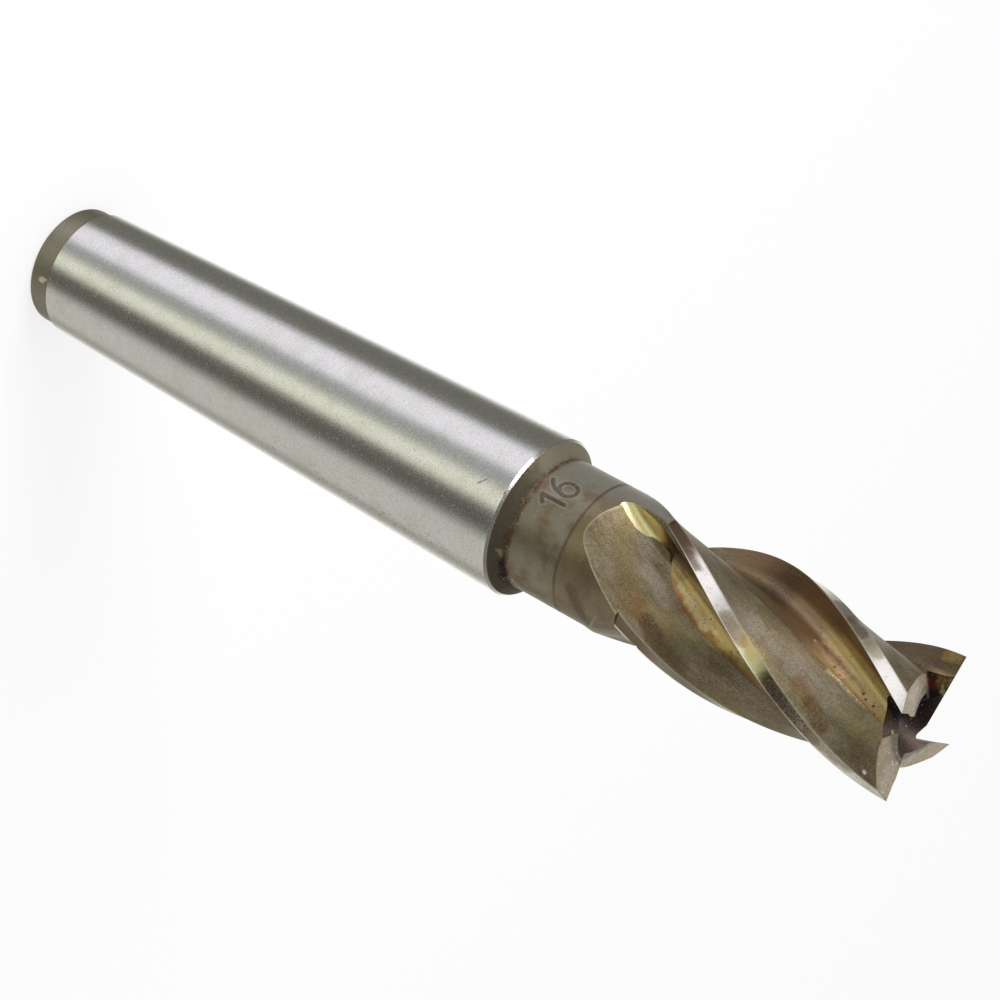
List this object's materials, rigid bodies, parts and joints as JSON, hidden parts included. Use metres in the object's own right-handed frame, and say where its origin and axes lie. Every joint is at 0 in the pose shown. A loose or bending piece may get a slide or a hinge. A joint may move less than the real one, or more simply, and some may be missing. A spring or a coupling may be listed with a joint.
{
  "type": "taper shank end mill",
  "caption": "Right-hand helical end mill: Morse taper shank with a tapped drawbar hole, a plain neck, helical flutes with run-outs, relieved lands and gashed end teeth round a centre hole.",
  "frame": {"origin": "centre of the shank's small end face, on the tool's axis", "axes": "+Z along the tool's axis from the shank's small end to the end teeth; the corner of one tooth lies on +X at the end face"},
  "size_m": [0.018, 0.018, 0.117],
  "materials": {
    "tool_steel": "ground taper and lands, matt dark neck and flutes with brown stains"
  },
  "bodies": {
    "root": {"end_mill": "tool_steel"}
  },
  "joints": []
}
